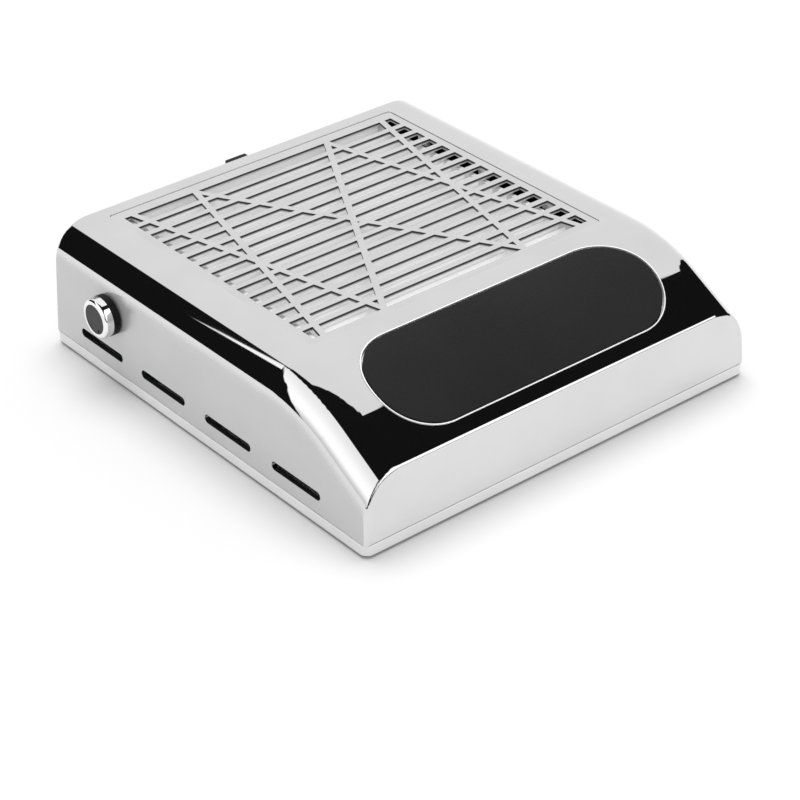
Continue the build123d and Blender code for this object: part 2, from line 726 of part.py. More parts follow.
upper_bearing_z = tube_top_z - bearing_h - 0.2
with BuildPart() as upper_bearing:
    with BuildSketch(Plane.XY.offset(upper_bearing_z)):
        with Locations((0, fan_y)):
            Circle(bearing_r)
            Circle(shaft_r + 0.03, mode=Mode.SUBTRACT)
    extrude(amount=bearing_h)
    with BuildSketch(Plane.XY.offset(upper_bearing_z + bearing_h - 0.25)):
        with Locations((0, fan_y)):
            Circle(bearing_r - 0.9)
            Circle(shaft_r + 0.9, mode=Mode.SUBTRACT)
    extrude(amount=1, mode=Mode.SUBTRACT)
upper_bearing.part.label = "upper_bearing"
export_step(upper_bearing.part, "parts/upper_bearing.step")

# Laminated stator with nine teeth
tooth_w = 4.0
tooth_tip_r = stator_r - 2.2
with BuildPart() as stator_core:
    with BuildSketch(Plane.XY.offset(stator_low_z)):
        with Locations((0, fan_y)):
            # A thin ring, cut open between the teeth, makes their tips
            Circle(stator_r)
            Circle(tooth_tip_r, mode=Mode.SUBTRACT)
            with PolarLocations(stator_r, tooth_count, start_angle=180 / tooth_count):
                Rectangle(6, 2.4, mode=Mode.SUBTRACT)
            Circle(10)
            with PolarLocations(tooth_tip_r / 2, tooth_count):
                Rectangle(tooth_tip_r + 2, tooth_w)
            Circle(tube_r + 0.05, mode=Mode.SUBTRACT)
    extrude(amount=stator_h)
stator_core.part.label = "stator_core"
export_step(stator_core.part, "parts/stator_core.step")

# Copper windings, one on each tooth
with BuildPart() as stator_coils:
    with BuildSketch(Plane.XY.offset(stator_low_z - 1.3)):
        with Locations((0, fan_y)):
            with PolarLocations(14.8, tooth_count):
                Rectangle(7.2, 6.6)
    extrude(amount=stator_h + 2.6)
    fillet(stator_coils.edges().filter_by(Axis.Z), radius=0.8)
    with BuildSketch(Plane.XY.offset(stator_low_z - 0.1)):
        with Locations((0, fan_y)):
            with PolarLocations(14.8, tooth_count):
                Rectangle(9, tooth_w + 0.2)
    extrude(amount=stator_h + 0.2, mode=Mode.SUBTRACT)
stator_coils.part.label = "stator_coils"
export_step(stator_coils.part, "parts/stator_coils.step")

# Ring-shaped driver board under the windings
with BuildPart() as motor_board:
    with BuildSketch(Plane.XY.offset(mount_top_z + 0.05)):
        with Locations((0, fan_y)):
            Circle(23.4)
            Circle(tube_r + 0.3, mode=Mode.SUBTRACT)
    extrude(amount=1.0)
motor_board.part.label = "motor_board"
export_step(motor_board.part, "parts/motor_board.step")

mount_screw_points = []
for quarter in range(4):
    turn = math.radians(45 + 90 * quarter)
    mount_screw_points.append((mount_screw_r * math.cos(turn), fan_y + mount_screw_r * math.sin(turn)))
with BuildPart() as motor_screws:
    with Locations(*[(x, y, mount_top_z) for x, y in mount_screw_points]):
        Cylinder(screw_r, 5.4, align=(Align.CENTER, Align.CENTER, Align.MAX))
        Cylinder(2.8, 1.8, align=(Align.CENTER, Align.CENTER, Align.MIN))
    with Locations(*[(x, y, mount_top_z + 1.8) for x, y in mount_screw_points]):
        Box(3.2, 0.8, 1.8, mode=Mode.SUBTRACT)
        Box(0.8, 3.2, 1.8, mode=Mode.SUBTRACT)
motor_screws.part.label = "motor_screws"
export_step(motor_screws.part, "parts/motor_screws.step")


# --- Speed control ----------------------------------------------------------------------------

pot_front_x = -wall_x(knob_z) + wall + 0.4
with BuildPart() as potentiometer:
    with BuildSketch(Plane.YZ.offset(pot_front_x)):
        with Locations((knob_y, knob_z)):
            Circle(8)
    extrude(amount=9.5)
    with BuildSketch(Plane.YZ.offset(pot_front_x + 0.5)):
        with Locations((knob_y, knob_z)):
            Circle(3.5)
    extrude(amount=-7.0)
    # Solder tags below the body
    with Locations((pot_front_x + 7, knob_y, knob_z - 6)):
        Box(2, 11, 7, align=(Align.CENTER, Align.CENTER, Align.MAX))
    with BuildSketch(Plane.YZ.offset(pot_front_x + 6)):
        with Locations((knob_y, knob_z)):
            Circle(3.05)
    extrude(amount=-20, mode=Mode.SUBTRACT)
potentiometer.part.label = "potentiometer"
export_step(potentiometer.part, "parts/potentiometer.step")

with BuildPart() as potentiometer_nut:
    with BuildSketch(Plane.YZ.offset(-wall_x(knob_z - 6) - 0.05)):
        with Locations((knob_y, knob_z)):
            RegularPolygon(5, 6, major_radius=False)
            Circle(3.6, mode=Mode.SUBTRACT)
    extrude(amount=-1.8)
potentiometer_nut.part.label = "potentiometer_nut"
export_step(potentiometer_nut.part, "parts/potentiometer_nut.step")

knob_step_x = knob_back_x - knob_skirt_l
knob_front_x = knob_step_x - knob_ring_l
with BuildPart() as control_shaft:
    with BuildSketch(Plane.YZ.offset(knob_step_x - 2.5)):
        with Locations((knob_y, knob_z)):
            Circle(3)
    extrude(amount=pot_front_x + 5.5 - knob_step_x + 2.5)
    # Flat for the knob
    with Locations((knob_step_x - 2.5, knob_y, knob_z + 1.6)):
        Box(5.5, 8, 4, align=(Align.MIN, Align.CENTER, Align.MIN), mode=Mode.SUBTRACT)
control_shaft.part.label = "control_shaft"
export_step(control_shaft.part, "parts/control_shaft.step")

# Knob: a black core, a chrome sleeve and a dark face with a small indicator dot
with BuildPart() as knob_core:
    with BuildSketch(Plane.YZ.offset(knob_back_x)):
        with Locations((knob_y, knob_z)):
            Circle(knob_skirt_r)
    extrude(amount=-knob_skirt_l)
    chamfer(knob_core.edges().filter_by(GeomType.CIRCLE), length=0.4)
    with BuildSketch(Plane.YZ.offset(knob_step_x)):
        with Locations((knob_y, knob_z)):
            Circle(knob_ring_r - 1.55)
    extrude(amount=-(knob_ring_l - 1.05))
    # Recess over the nut
    with BuildSketch(Plane.YZ.offset(knob_back_x)):
        with Locations((knob_y, knob_z)):
            Circle(7)
    extrude(amount=-2.6, mode=Mode.SUBTRACT)
    with BuildSketch(Plane.YZ.offset(knob_back_x)):
        with Locations((knob_y, knob_z)):
            Circle(3.04)
            with Locations((0, 3.6)):
                Rectangle(8, 3.9, mode=Mode.SUBTRACT)
    extrude(amount=-(knob_skirt_l + 2.6), mode=Mode.SUBTRACT)
    with BuildSketch(Plane.YZ.offset(knob_back_x)):
        with Locations((knob_y, knob_z)):
            Circle(3.04)
    extrude(amount=-3.0, mode=Mode.SUBTRACT)
knob_core.part.label = "knob_core"
export_step(knob_core.part, "parts/knob_core.step")

with BuildPart() as knob_ring:
    with BuildSketch(Plane.YZ.offset(knob_step_x - 0.05)):
        with Locations((knob_y, knob_z)):
            Circle(knob_ring_r)
    extrude(amount=-(knob_ring_l - 0.05))
    fillet(knob_ring.edges().sort_by(Axis.X)[0], radius=1.8)
    with BuildSketch(Plane.YZ.offset(knob_step_x)):
        with Locations((knob_y, knob_z)):
            Circle(knob_ring_r - 1.5)
    extrude(amount=-(knob_ring_l - 0.9), mode=Mode.SUBTRACT)
    with BuildSketch(Plane.YZ.offset(knob_step_x)):
        with Locations((knob_y, knob_z)):
            Circle(knob_face_r + 0.05)
    extrude(amount=-10, mode=Mode.SUBTRACT)
knob_ring.part.label = "knob_ring"
export_step(knob_ring.part, "parts/knob_ring.step")

marker_y = knob_y - 7 * math.sin(math.radians(marker_angle))
marker_z = knob_z - 7 * math.cos(math.radians(marker_angle))
with BuildPart() as knob_face:
    with BuildSketch(Plane.YZ.offset(knob_front_x + 1.0)):
        with Locations((knob_y, knob_z)):
            Circle(knob_face_r)
    extrude(amount=-0.75)
    with BuildSketch(Plane.YZ.offset(knob_front_x + 0.6)):
        with Locations((marker_y, marker_z)):
            Circle(0.8)
    extrude(amount=-2, mode=Mode.SUBTRACT)
knob_face.part.label = "knob_face"
export_step(knob_face.part, "parts/knob_face.step")


# --- Power inlet and electronics --------------------------------------------------------------

flange_y = wall_y(jack_z - 7) + 0.05
nut_y = wall_y(jack_z + 7.5) - wall - 0.05
with BuildPart() as power_inlet:
    with BuildSketch(Plane.XZ.offset(-flange_y)):
        with Locations((jack_x, jack_z)):
            Circle(7)
    extrude(amount=-1.8)
    with BuildSketch(Plane.XZ.offset(-flange_y - 0.5)):
        with Locations((jack_x, jack_z)):
            Circle(5.5)
    extrude(amount=16)
    with BuildSketch(Plane.XZ.offset(-flange_y - 3)):
        with Locations((jack_x, jack_z)):
            Circle(2.85)
            Circle(1.0, mode=Mode.SUBTRACT)
    extrude(amount=12, mode=Mode.SUBTRACT)
    # The pin stops a little inside the mouth
    with BuildSketch(Plane.XZ.offset(-flange_y - 5)):
        with Locations((jack_x, jack_z)):
            Circle(2.85)
    extrude(amount=4.5, mode=Mode.SUBTRACT)
power_inlet.part.label = "power_inlet"
export_step(power_inlet.part, "parts/power_inlet.step")

with BuildPart() as inlet_nut:
    with BuildSketch(Plane.XZ.offset(-nut_y)):
        with Locations((jack_x, jack_z)):
            RegularPolygon(7, 6, major_radius=False)
            Circle(5.55, mode=Mode.SUBTRACT)
    extrude(amount=2.5)
inlet_nut.part.label = "inlet_nut"
export_step(inlet_nut.part, "parts/inlet_nut.step")

with BuildPart() as control_board:
    with BuildSketch(Plane.XY.offset(board_z)):
        with Locations(((board_x0 + board_x1) / 2, (board_y0 + board_y1) / 2)):
            RectangleRounded(board_x1 - board_x0, board_y1 - board_y0, 1)
        with Locations(*board_points):
            Circle(1.2, mode=Mode.SUBTRACT)
    extrude(amount=board_pcb_t)
control_board.part.label = "control_board"
export_step(control_board.part, "parts/control_board.step")

with BuildPart() as board_screws:
    with Locations(*[(x, y, board_top_z) for x, y in board_points]):
        Cylinder(1.0, 5.6, align=(Align.CENTER, Align.CENTER, Align.MAX))
        Cylinder(1.9, 1.4, align=(Align.CENTER, Align.CENTER, Align.MIN))
    with Locations(*[(x, y, board_top_z + 1.4) for x, y in board_points]):
        Box(2.2, 0.6, 1.4, mode=Mode.SUBTRACT)
        Box(0.6, 2.2, 1.4, mode=Mode.SUBTRACT)
board_screws.part.label = "board_screws"
export_step(board_screws.part, "parts/board_screws.step")

with BuildPart() as board_capacitors:
    with Locations((-110, 58, board_top_z), (-99, 58, board_top_z)):
        Cylinder(4.6, 16, align=(Align.CENTER, Align.CENTER, Align.MIN))
    fillet(board_capacitors.edges().group_by(Axis.Z)[-1], radius=0.6)
board_capacitors.part.label = "board_capacitors"
export_step(board_capacitors.part, "parts/board_capacitors.step")

with BuildPart() as board_heatsink:
    with Locations((-105, 72, board_top_z)):
        Box(16, 2, 18, align=(Align.CENTER, Align.CENTER, Align.MIN))
        with GridLocations(3.5, 0, 5, 1):
            Box(1.2, 8, 18, align=(Align.CENTER, Align.CENTER, Align.MIN))
board_heatsink.part.label = "board_heatsink"
export_step(board_heatsink.part, "parts/board_heatsink.step")

with BuildPart() as board_sockets:
    with Locations((-89, 80, board_top_z), (-100, 94, board_top_z), (-120, 84, board_top_z)):
        Box(6, 7, 6.5, align=(Align.CENTER, Align.CENTER, Align.MIN))
board_sockets.part.label = "board_sockets"
export_step(board_sockets.part, "parts/board_sockets.step")


# --- Leads inside the case --------------------------------------------------------------------

motor_lead_r = 0.8
motor_lead_points = [
    (-23.5, fan_y, 9.5),
    (-45, fan_y, 9.5),
    (-62, 46, 6.0),
    (-72, 58, 6.0),
    (-73, 70, 8.0),
    (-76, 80.5, 14.5),
    (-85.95, 80.5, 14.5),
]
inlet_lead_r = 1.2
inlet_end_y = flange_y - 15.7
inlet_lead_points = [
    (jack_x, inlet_end_y, jack_z),
    (jack_x, 113.5, jack_z),
    (-100, 106.5, 15),
    (-100, 97.6, 15),
]
control_lead_r = 1.2
control_lead_points = [(-120.8, 86, 27.95), (-120.8, 86, 24.5), (-120, 84.3, 21.5), (-120, 84.3, 18.15)]


def bend_radii(points):
    # Arcs as large as the runs on both sides of each corner allow
    radii = []
    for before, corner, after in zip(points, points[1:], points[2:]):
        first = Vector(*corner) - Vector(*before)
        second = Vector(*after) - Vector(*corner)
        half_turn = math.radians(first.get_angle(second)) / 2
        radii.append(0.45 * min(first.length, second.length) / math.tan(half_turn))
    print("bend radii", [round(radius, 1) for radius in radii])
    return radii


# From the motor's driver board, over the mounting plate and along the floor
with BuildPart() as motor_lead:
    with BuildLine() as motor_route:
        FilletPolyline(*motor_lead_points, radius=bend_radii(motor_lead_points))
    with BuildSketch(Plane(origin=motor_route.line @ 0, z_dir=motor_route.line % 0)):
        Circle(motor_lead_r)
    sweep()
motor_lead.part.label = "motor_lead"
export_step(motor_lead.part, "parts/motor_lead.step")

# From the power inlet to the control board
with BuildPart() as inlet_lead:
    with BuildLine() as inlet_route:
        FilletPolyline(*inlet_lead_points, radius=bend_radii(inlet_lead_points))
    with BuildSketch(Plane(origin=inlet_route.line @ 0, z_dir=inlet_route.line % 0)):
        Circle(inlet_lead_r)
    sweep()
inlet_lead.part.label = "inlet_lead"
export_step(inlet_lead.part, "parts/inlet_lead.step")

# From the speed control's tags down to the control board
with BuildPart() as control_lead:
    with BuildLine() as control_route:
        FilletPolyline(*control_lead_points, radius=bend_radii(control_lead_points))
    with BuildSketch(Plane(origin=control_route.line @ 0, z_dir=control_route.line % 0)):
        Circle(control_lead_r)
    sweep()
control_lead.part.label = "control_lead"
export_step(control_lead.part, "parts/control_lead.step")
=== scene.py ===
import json
import math

import bmesh
import bpy
from mathutils import Matrix, Vector
from mathutils.bvhtree import BVHTree
from mathutils.geometry import delaunay_2d_cdt


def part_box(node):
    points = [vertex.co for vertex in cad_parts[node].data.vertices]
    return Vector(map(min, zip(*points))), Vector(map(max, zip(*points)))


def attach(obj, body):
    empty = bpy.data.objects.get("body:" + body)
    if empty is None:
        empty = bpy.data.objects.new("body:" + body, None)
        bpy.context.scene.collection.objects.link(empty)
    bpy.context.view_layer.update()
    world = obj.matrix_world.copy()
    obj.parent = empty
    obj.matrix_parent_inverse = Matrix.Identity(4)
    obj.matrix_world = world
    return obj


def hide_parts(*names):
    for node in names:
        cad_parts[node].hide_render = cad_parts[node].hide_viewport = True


# Desktop nail dust collector. Metres, +X right, +Y back, +Z up; the user sits at -Y.

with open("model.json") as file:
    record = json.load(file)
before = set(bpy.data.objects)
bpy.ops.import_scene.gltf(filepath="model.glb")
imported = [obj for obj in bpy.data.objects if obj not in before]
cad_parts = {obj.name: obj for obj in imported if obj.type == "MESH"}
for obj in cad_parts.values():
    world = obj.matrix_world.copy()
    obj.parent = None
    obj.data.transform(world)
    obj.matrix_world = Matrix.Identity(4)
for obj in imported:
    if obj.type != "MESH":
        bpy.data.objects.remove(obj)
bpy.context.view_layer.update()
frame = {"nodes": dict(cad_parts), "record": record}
nodes = frame["nodes"]
case_low, case_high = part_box("top_shell")
case_mid = (case_low + case_high) / 2
grille_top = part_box("grille_panel")[1].z
pleat_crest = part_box("filter_pleats")[1].z

# --- Node helpers -----------------------------------------------------------------------------


class Shader:
    """A material or world under construction, with short calls for the nodes it uses."""

    def __init__(self, owner):
        owner.use_nodes = True
        self.tree = owner.node_tree
        self.tree.nodes.clear()

    def node(self, kind, inputs=None, **settings):
        made = self.tree.nodes.new(kind)
        for key, value in settings.items():
            setattr(made, key, value)
        for key, value in (inputs or {}).items():
            if isinstance(value, bpy.types.NodeSocket):
                self.tree.links.new(value, made.inputs[key])
            else:
                made.inputs[key].default_value = value
        return made

    def math(self, operation, first, second=0.0, clamp=False):
        made = self.node("ShaderNodeMath", {0: first, 1: second}, operation=operation)
        made.use_clamp = clamp
        return made.outputs[0]

    def dot(self, vector, axis):
        made = self.node("ShaderNodeVectorMath", {0: vector, 1: axis}, operation="DOT_PRODUCT")
        return made.outputs["Value"]

    def ramp(self, value, low, high, out_low=0.0, out_high=1.0):
        inputs = {"Value": value, 1: low, 2: high, 3: out_low, 4: out_high}
        made = self.node("ShaderNodeMapRange", inputs, interpolation_type="SMOOTHSTEP")
        return made.outputs[0]

    def mix(self, factor, first, second):
        inputs = {"Factor": factor, "A": first, "B": second}
        made = self.node("ShaderNodeMix", data_type="RGBA")
        for key, value in inputs.items():
            sockets = [s for s in made.inputs if s.name == key and s.enabled]
            if isinstance(value, bpy.types.NodeSocket):
                self.tree.links.new(value, sockets[0])
            else:
                sockets[0].default_value = value
        return [s for s in made.outputs if s.enabled][0]

    def noise(self, vector, scale, detail=2.0, roughness=0.5):
        inputs = {"Vector": vector, "Scale": scale, "Detail": detail, "Roughness": roughness}
        return self.node("ShaderNodeTexNoise", inputs).outputs["Fac"]

    def place(self):
        return self.node("ShaderNodeTexCoord").outputs["Object"]

    def facing(self, axis):
        """How squarely the surface faces along an axis, either way, from 0 to 1."""
        normal = self.node("ShaderNodeTexCoord").outputs["Normal"]
        return self.math("ABSOLUTE", self.dot(normal, axis))


def grey(level):
    return (level, level, level, 1.0)


# --- Materials --------------------------------------------------------------------------------


def finish_material(shader, principled, height=None, distance=0.0001, strength=0.2):
    """Joins an optional bump and the output to the principled shader."""
    if height is not None:
        bump = shader.node("ShaderNodeBump", {"Height": height, "Distance": distance, "Strength": strength})
        shader.tree.links.new(bump.outputs["Normal"], principled.inputs["Normal"])
    shader.node("ShaderNodeOutputMaterial", {"Surface": principled.outputs["BSDF"]})


def plating(name, level, rough_low, rough_high, wave=0.05):
    """Bright chrome plating: fine variation in the gloss and a slow ripple."""
    material = bpy.data.materials.new(name)
    shader = Shader(material)
    place = shader.place()
    cloud = shader.noise(place, 28.0, 3.0)
    fine = shader.noise(place, 900.0, 2.0)
    colour = shader.mix(shader.ramp(cloud, 0.35, 0.7), grey(level), grey(level * 0.96))
    rough = shader.ramp(fine, 0.3, 0.7, rough_low, rough_high)
    inputs = {"Base Color": colour, "Metallic": 1.0, "Roughness": rough}
    principled = shader.node("ShaderNodeBsdfPrincipled", inputs)
    finish_material(shader, principled, shader.noise(place, 60.0, 1.0), 0.0001, wave)
    return material


def case_plating():
    """The case: mirror-like above, satin on the upright walls, with painted shade on the side walls and
    painted light on the end walls; unplated inside, painted near-black as shade.
    """
    material = bpy.data.materials.new("case_chrome")
    shader = Shader(material)
    place = shader.place()
    cloud = shader.ramp(shader.noise(place, 28.0, 3.0), 0.35, 0.7)
    side_wall = shader.ramp(shader.facing((1, 0, 0)), 0.94, 0.99)
    end_wall = shader.ramp(shader.facing((0, 1, 0)), 0.94, 0.99)
    wall = shader.math("MAXIMUM", side_wall, end_wall)
    gloss = shader.ramp(cloud, 0.0, 1.0, 0.02, 0.03)
    rough = shader.math("ADD", gloss, shader.math("MULTIPLY", wall, 0.28))
    # Painted shade and light: the side walls are painted darker and the end walls a little lighter than the
    # top, all one plating
    skin = shader.mix(cloud, grey(0.71), grey(0.685))
    skin = shader.mix(side_wall, skin, shader.mix(cloud, grey(0.575), grey(0.555)))
    skin = shader.mix(end_wall, skin, shader.mix(cloud, grey(0.73), grey(0.71)))
    # The inside faces the middle of the case; the rim round the grille is plated like the outside
    middle = tuple(-component for component in case_mid)
    outward = shader.node("ShaderNodeVectorMath", {0: place, 1: middle}, operation="ADD").outputs[0]
    normal = shader.node("ShaderNodeTexCoord").outputs["Normal"]
    inside = shader.ramp(shader.dot(outward, normal), 0.0005, -0.0005)
    deep = shader.ramp(shader.dot(place, (0, 0, 1)), grille_top - 0.0004, grille_top - 0.0009)
    inside = shader.math("MULTIPLY", inside, deep)
    # Painted shade: below the grille's rim the unplated inside is painted near-black and matt
    colour = shader.mix(inside, skin, grey(0.006))
    metallic = shader.math("SUBTRACT", 1.0, inside)
    metallic = shader.math("MULTIPLY", metallic, shader.ramp(wall, 0.0, 1.0, 1.0, 0.4))
    rough = shader.math("MAXIMUM", rough, shader.math("MULTIPLY", inside, 0.6))
    inputs = {"Base Color": colour, "Metallic": metallic, "Roughness": rough}
    principled = shader.node("ShaderNodeBsdfPrincipled", inputs)
    finish_material(shader, principled, shader.noise(place, 60.0, 1.0), 0.0001, 0.02)
    return material


def grille_plating():
    """The grille: plated on top; the sides of its slots are matt with painted shade, darkest under the top
    edge and pale grey lower down.
    """
    material = bpy.data.materials.new("grille_chrome")
    shader = Shader(material)
    place = shader.place()
    fine = shader.noise(place, 900.0, 2.0)
    cloud = shader.ramp(shader.noise(place, 40.0, 2.0), 0.35, 0.7)
    top = shader.ramp(shader.facing((0, 0, 1)), 0.55, 0.8)
    height = shader.dot(place, (0, 0, 1))
    # Painted shade on the slot sides: near-black just under the top face, pale grey lower down
    shade = shader.ramp(height, grille_top - 0.0019, grille_top - 0.0009, 0.65, 0.02)
    skin = shader.mix(cloud, grey(0.70), grey(0.67))
    colour = shader.mix(top, shade, skin)
    rough = shader.ramp(fine, 0.3, 0.7, 0.10, 0.14)
    rough = shader.math("MAXIMUM", rough, shader.math("SUBTRACT", 0.6, top))
    inputs = {"Base Color": colour, "Metallic": top, "Roughness": rough}
    principled = shader.node("ShaderNodeBsdfPrincipled", inputs)
    finish_material(shader, principled, shader.noise(place, 80.0, 1.0), 0.0001, 0.03)
    return material


def silver(name):
    """Satin silver lacquer: bright from every side."""
    material = bpy.data.materials.new(name)
    shader = Shader(material)
    place = shader.place()
    tone = shader.mix(shader.noise(place, 50.0, 3.0), grey(0.92), grey(0.86))
    rough = shader.ramp(shader.noise(place, 90.0), 0.3, 0.7, 0.26, 0.30)
    inputs = {"Base Color": tone, "Metallic": 0.35, "Roughness": rough}
    principled = shader.node("ShaderNodeBsdfPrincipled", inputs)
    finish_material(shader, principled)
    return material


def moulded(name, colour, roughness, strength=0.15, specular=0.5):
    """Moulded plastic: fine spark-eroded grain and a slight drift of tone."""
    material = bpy.data.materials.new(name)
    shader = Shader(material)
    place = shader.place()
    drift = shader.noise(place, 22.0, 3.0)
    darker = tuple(channel * 0.94 for channel in colour[:3]) + (1.0,)
    tone = shader.mix(shader.ramp(drift, 0.3, 0.7), colour, darker)
    rough = shader.ramp(shader.noise(place, 300.0), 0.3, 0.7, roughness * 0.9, roughness * 1.1)
    inputs = {"Base Color": tone, "Roughness": rough, "Specular IOR Level": specular}
    principled = shader.node("ShaderNodeBsdfPrincipled", inputs)
    finish_material(shader, principled, shader.noise(place, 900.0), 0.0001, strength)
    return material


def metal(name, colour, roughness, streak=(1.0, 1.0, 12.0)):
    """Bare or zinc-plated metal with fine tool marks."""
    material = bpy.data.materials.new(name)
    shader = Shader(material)
    stretched = shader.node("ShaderNodeMapping", {"Vector": shader.place(), "Scale": streak})
    marks = shader.noise(stretched.outputs["Vector"], 400.0, 3.0)
    darker = tuple(channel * 0.85 for channel in colour[:3]) + (1.0,)
    tone = shader.mix(marks, colour, darker)
    rough = shader.ramp(marks, 0.2, 0.8, roughness * 0.8, roughness * 1.2)
    inputs = {"Base Color": tone, "Metallic": 1.0, "Roughness": rough}
    principled = shader.node("ShaderNodeBsdfPrincipled", inputs)
    finish_material(shader, principled, marks, 0.00005, 0.1)
    return material


def pad_cover():
    """Charcoal soft-touch cover: a fine pebble grain with a weak sheen."""
    material = bpy.data.materials.new("pad_cover")
    shader = Shader(material)
    place = shader.place()
    cells = shader.node("ShaderNodeTexVoronoi", {"Vector": place, "Scale": 900.0}, feature="SMOOTH_F1")
    drift = shader.noise(place, 14.0, 3.0)
    tone = shader.mix(shader.ramp(drift, 0.3, 0.7), grey(0.0095), grey(0.0118))
    rough = shader.ramp(cells.outputs["Distance"], 0.0, 0.8, 0.62, 0.74)
    inputs = {"Base Color": tone, "Roughness": rough, "Sheen Weight": 0.01, "Specular IOR Level": 0.18}
    principled = shader.node("ShaderNodeBsdfPrincipled", inputs)
    finish_material(shader, principled, cells.outputs["Distance"], 0.0001, 0.25)
    return material


def filter_paper():
    """White filter paper: short soft fibres, with painted shade greying it down in the folds and a painted
    glow.
    """
    material = bpy.data.materials.new("filter_paper")
    shader = Shader(material)
    place = shader.place()
    fibres = shader.noise(place, 1400.0, 4.0, 0.7)
    drift = shader.noise(place, 60.0, 2.0)
    tone = shader.mix(shader.ramp(drift, 0.3, 0.7), grey(0.96), grey(0.92))
    height = shader.dot(place, (0, 0, 1))
    # Painted shade: the paper turns grey down in the folds and stays white at the crests
    crest = shader.ramp(height, pleat_crest - 0.006, pleat_crest - 0.001)
    tone = shader.mix(crest, grey(0.45), tone)
    inputs = {"Base Color": tone, "Roughness": 0.85, "Specular IOR Level": 0.2}
    principled = shader.node("ShaderNodeBsdfPrincipled", inputs)
    # The paper is made to glow a little: painted light that keeps it white under the grille
    principled.inputs["Emission Color"].default_value = grey(1.0)
    principled.inputs["Emission Strength"].default_value = 0.16
    finish_material(shader, principled, fibres, 0.0002, 0.4)
    return material


def circuit_board():
    """Green solder mask with a faint pattern of tracks."""
    material = bpy.data.materials.new("circuit_board")
    shader = Shader(material)
    place = shader.place()
    inputs = {"Vector": place, "Scale": 260.0}
    tracks = shader.node("ShaderNodeTexVoronoi", inputs, feature="F1", distance="CHEBYCHEV")
    mask = shader.ramp(tracks.outputs["Distance"], 0.42, 0.5)
    tone = shader.mix(mask, (0.02, 0.14, 0.05, 1.0), (0.04, 0.22, 0.09, 1.0))
    principled = shader.node("ShaderNodeBsdfPrincipled", {"Base Color": tone, "Roughness": 0.35})
    finish_material(shader, principled, mask, 0.00005, 0.3)
    return material


materials = {
    "case_chrome": case_plating(),
    "grille_chrome": grille_plating(),
    "trim_chrome": plating("trim_chrome", 0.90, 0.03, 0.06, 0.02),
    "trim_silver": silver("trim_silver"),
    "white_plastic": moulded("white_plastic", grey(0.80), 0.38),
    "black_plastic": moulded("black_plastic", grey(0.005), 0.45, specular=0.15),
    "knob_face_plastic": moulded("knob_face_plastic", grey(0.012), 0.35, 0.05, 0.3),
    "pad_cover": pad_cover(),
    "filter_paper": filter_paper(),
    "foot_rubber": moulded("foot_rubber", grey(0.03), 0.8),
    "screw_steel": metal("screw_steel", grey(0.60), 0.3),
    "motor_steel": metal("motor_steel", grey(0.52), 0.35),
    "motor_aluminium": metal("motor_aluminium", grey(0.72), 0.4),
    "magnet_ferrite": moulded("magnet_ferrite", grey(0.05), 0.6),
    "winding_copper": metal("winding_copper", (0.72, 0.33, 0.15, 1.0), 0.35, (1.0, 1.0, 60.0)),
    "circuit_board": circuit_board(),
    "capacitor_sleeve": moulded("capacitor_sleeve", (0.012, 0.015, 0.03, 1.0), 0.3),
    "socket_plastic": moulded("socket_plastic", (0.78, 0.74, 0.62, 1.0), 0.45),
    "lead_jacket": moulded("lead_jacket", grey(0.015), 0.35),
}

for subpart in frame["record"]["subparts"]:
    node = nodes[subpart["node"]]
    node.data.materials.clear()
    node.data.materials.append(materials[subpart["material_slot"]])


# --- Wrist pad --------------------------------------------------------------------------------

pad_tilt = math.radians(22.4)
pad_along = Vector((0, math.cos(pad_tilt), math.sin(pad_tilt)))
pad_up = Vector((0, -math.sin(pad_tilt), math.cos(pad_tilt)))
pad_corner = 0.030
pad_clear = 0.0005
pad_edge_drop = 0.0010
pad_depth = 0.0006
pad_grid = 0.0028
pad_crown = 0.0016


def rounded_loop(half_w, half_d, radius, spacing):
    """Evenly spaced points round a rectangle with round corners."""
    dense = []
    for turn, (side_x, side_y) in enumerate(((1, 1), (-1, 1), (-1, -1), (1, -1))):
        for step in range(25):
            angle = math.radians(90 * turn + 90 * step / 24)
            x = side_x * (half_w - radius) + radius * math.cos(angle)
            y = side_y * (half_d - radius) + radius * math.sin(angle)
            dense.append(Vector((x, y)))
    dense.append(dense[0])
    lengths = [0.0]
    for first, second in zip(dense, dense[1:]):
        lengths.append(lengths[-1] + (second - first).length)
    count = round(lengths[-1] / spacing)
    loop = []
    here = 0
    for index in range(count):
        want = lengths[-1] * index / count
        while lengths[here + 1] < want:
            here += 1
        part = (want - lengths[here]) / (lengths[here + 1] - lengths[here])
        loop.append(dense[here].lerp(dense[here + 1], part))
    return loop


def pad_layout(half_w, half_d):
    """A flat triangulated cover: three close loops at the rim and an even field inside them."""
    points = []
    for inset in (0.0, 0.0007, 0.0018, 0.0035):
        radius = pad_corner - inset
        points += rounded_loop(half_w - inset, half_d - inset, radius, pad_grid * 0.8)
        if inset == 0.0:
            rim_count = len(points)
    inner_w, inner_d, inner_r = half_w - 0.0052, half_d - 0.0052, pad_corner - 0.0052
    rows = int(2 * half_d / (pad_grid * 0.866))
    for row in range(rows + 1):
        y = -half_d + row * pad_grid * 0.866
        for column in range(int(2 * half_w / pad_grid) + 1):
            x = -half_w + (column + 0.5 * (row % 2)) * pad_grid
            out_x = max(abs(x) - (inner_w - inner_r), 0)
            out_y = max(abs(y) - (inner_d - inner_r), 0)
            if math.hypot(out_x, out_y) < inner_r:
                points.append(Vector((x, y)))
    edges = [(index, (index + 1) % rim_count) for index in range(rim_count)]
    flat, _, triangles, *_ = delaunay_2d_cdt(points, edges, [], 1, 1e-6)
    return flat, triangles, rim_count


